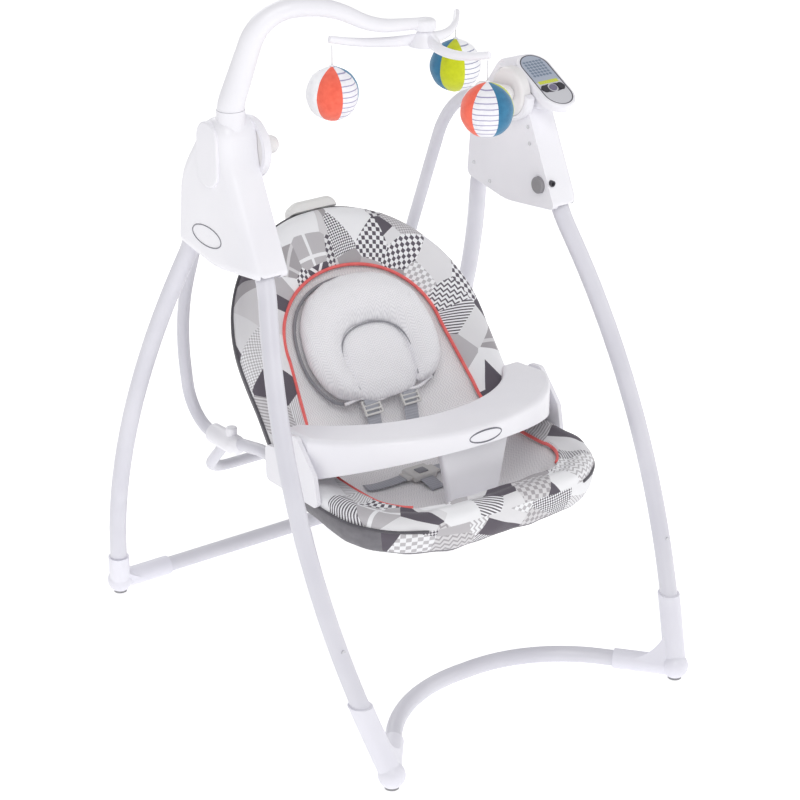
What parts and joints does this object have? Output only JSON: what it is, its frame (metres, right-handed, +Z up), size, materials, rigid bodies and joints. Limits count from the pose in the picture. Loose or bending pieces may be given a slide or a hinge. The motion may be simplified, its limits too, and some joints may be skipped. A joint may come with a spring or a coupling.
{
  "type": "baby swing",
  "caption": "Folding baby swing: bowed tube legs, two drive housings, padded reclining seat on swinging arms, snack tray and toy mobile.",
  "frame": {"origin": "on the floor, midway between the four feet", "axes": "+Z up, the sitter faces -Y, the motor housing is on the +X side"},
  "size_m": [0.6768, 0.824, 1.0991],
  "materials": {
    "frame_paint": "satin powder coat",
    "white_plastic": "soft gloss",
    "foot_plastic": "soft gloss",
    "grey_plastic": "satin",
    "dark_plastic": "satin",
    "panel_print": "printed film",
    "steel": "bright",
    "brass": "turned",
    "board": "solder mask",
    "cell": "wrapper",
    "pad_rubber": "matt",
    "print_fabric": "woven print",
    "liner_fabric": "soft knit",
    "pillow_fabric": "soft knit",
    "webbing": "woven webbing",
    "ball_coral": "plush",
    "ball_lime": "plush",
    "ball_petrol": "plush"
  },
  "bodies": {
    "rear_frame": {"rear_legs": "frame_paint", "rear_base_tube": "frame_paint", "rear_feet": "foot_plastic", "rear_foot_pads": "pad_rubber", "housing_left_inner": "white_plastic", "housing_left_outer": "white_plastic", "housing_right_inner": "white_plastic", "housing_right_outer": "white_plastic", "housing_screws": "steel", "battery_door": "white_plastic", "battery_cells": "cell", "power_inlet": "dark_plastic", "fold_pins": "steel", "control_head": "white_plastic", "control_panel": "panel_print", "circuit_board": "board", "hub_bushes": "brass", "drive_motor": "steel", "mobile_mount": "white_plastic"},
    "front_frame": {"front_leg_right": "frame_paint", "front_leg_left": "frame_paint", "lower_legs": "frame_paint", "front_base_tube": "frame_paint", "front_feet": "foot_plastic", "front_foot_pads": "pad_rubber", "leg_snap_buttons": "steel"},
    "fold_button_right": {"fold_button_right": "grey_plastic"},
    "fold_button_left": {"fold_button_left": "grey_plastic"},
    "panel_left": {"panel_button_left": "dark_plastic"},
    "panel_round": {"panel_button_round": "grey_plastic"},
    "panel_right": {"panel_button_right": "dark_plastic"},
    "worm": {"motor_worm": "brass"},
    "crank": {"crank_wheel": "white_plastic"},
    "link": {"drive_link": "steel"},
    "carriage": {"hub_left": "white_plastic", "hub_right": "white_plastic", "swing_arm_left": "frame_paint", "swing_arm_right": "frame_paint", "hub_shafts": "steel", "carriage_tube": "frame_paint", "cross_tube": "frame_paint", "arm_joints": "white_plastic", "side_brackets": "white_plastic", "seat_cover_front": "print_fabric", "seat_pan": "liner_fabric", "lap_harness": "webbing"},
    "seat_back": {"back_hoop": "frame_paint", "seat_cover_back": "print_fabric", "seat_back": "liner_fabric", "head_pillow": "pillow_fabric", "recline_catch": "grey_plastic", "shoulder_straps": "webbing"},
    "recline_grip": {"recline_handle": "grey_plastic"},
    "tray": {"tray": "white_plastic", "crotch_post": "white_plastic"},
    "mobile_bar": {"mobile_arm": "white_plastic"},
    "mobile_rotor": {"mobile_rotor": "white_plastic"},
    "ball_1": {"mobile_ball_1": "ball_lime"},
    "ball_2": {"mobile_ball_2": "ball_coral"},
    "ball_3": {"mobile_ball_3": "ball_petrol"}
  },
  "joints": [
    {"name": "front_fold", "type": "hinge", "parent": "rear_frame", "child": "front_frame", "pos_m": [0, -0.043, 0.778], "axis": [1, 0, 0], "range_deg": [0, 44]},
    {"name": "seat_swing", "type": "hinge", "parent": "rear_frame", "child": "carriage", "pos_m": [0, 0.003, 0.88], "axis": [1, 0, 0], "range_deg": [-15, 15]},
    {"name": "seat_recline", "type": "hinge", "parent": "carriage", "child": "seat_back", "pos_m": [0, -0.022, 0.394], "axis": [-1, 0, 0], "range_deg": [0, 13]},
    {"name": "recline_squeeze", "type": "slide", "parent": "seat_back", "child": "recline_grip", "axis": [0, 0.6225, 0.7826], "range_m": [0, 0.01], "stiffness_N_per_m": 900, "springref_m": -0.004},
    {"name": "tray_lift", "type": "hinge", "parent": "carriage", "child": "tray", "pos_m": [0, -0.058, 0.421], "axis": [-1, 0, 0], "range_deg": [0, 70]},
    {"name": "fold_button_right_press", "type": "slide", "parent": "rear_frame", "child": "fold_button_right", "axis": [1, 0, 0], "range_m": [0, 0.004], "stiffness_N_per_m": 600},
    {"name": "fold_button_left_press", "type": "slide", "parent": "rear_frame", "child": "fold_button_left", "axis": [-1, 0, 0], "range_m": [0, 0.004], "stiffness_N_per_m": 600},
    {"name": "panel_left_press", "type": "slide", "parent": "rear_frame", "child": "panel_left", "axis": [0, 0.4772, -0.8788], "range_m": [0, 0.001], "stiffness_N_per_m": 500},
    {"name": "panel_round_press", "type": "slide", "parent": "rear_frame", "child": "panel_round", "axis": [0, 0.4772, -0.8788], "range_m": [0, 0.001], "stiffness_N_per_m": 500},
    {"name": "panel_right_press", "type": "slide", "parent": "rear_frame", "child": "panel_right", "axis": [0, 0.4772, -0.8788], "range_m": [0, 0.001], "stiffness_N_per_m": 500},
    {"name": "crank_turn", "type": "hinge", "parent": "rear_frame", "child": "crank", "pos_m": [0, 0.049, 0.846], "axis": [1, 0, 0], "continuous": true},
    {"name": "worm_spin", "type": "hinge", "parent": "rear_frame", "child": "worm", "pos_m": [0.2755, 0.049, 0.8226], "axis": [0, 1, 0], "continuous": true},
    {"name": "link_swing", "type": "hinge", "parent": "carriage", "child": "link", "pos_m": [0, 0.003, 0.852], "axis": [1, 0, 0], "range_deg": [-15, 15]},
    {"name": "mobile_swing", "type": "hinge", "parent": "rear_frame", "child": "mobile_bar", "pos_m": [-0.278, 0.003, 0.94], "axis": [0, 0, 1], "range_deg": [-100, 0]},
    {"name": "mobile_spin", "type": "hinge", "parent": "mobile_bar", "child": "mobile_rotor", "pos_m": [0, -0.094, 1.027], "axis": [0, 0, 1], "continuous": true},
    {"name": "ball_1_swing", "type": "hinge", "parent": "mobile_rotor", "child": "ball_1", "pos_m": [0.11508, -0.01783, 1.0225], "axis": [-0.5519, 0.8339, 0], "range_deg": [-35, 35]},
    {"name": "ball_2_swing", "type": "hinge", "parent": "mobile_rotor", "child": "ball_2", "pos_m": [-0.1235, -0.03242, 1.0225], "axis": [-0.4462, -0.8949, 0], "range_deg": [-35, 35]},
    {"name": "ball_3_swing", "type": "hinge", "parent": "mobile_rotor", "child": "ball_3", "pos_m": [0.00842, -0.23174, 1.0225], "axis": [0.9981, 0.0611, 0], "range_deg": [-35, 35]}
  ],
  "couplings": [
    {"joint": "crank_turn", "follows": "worm_spin", "ratio": 0.033333}
  ]
}
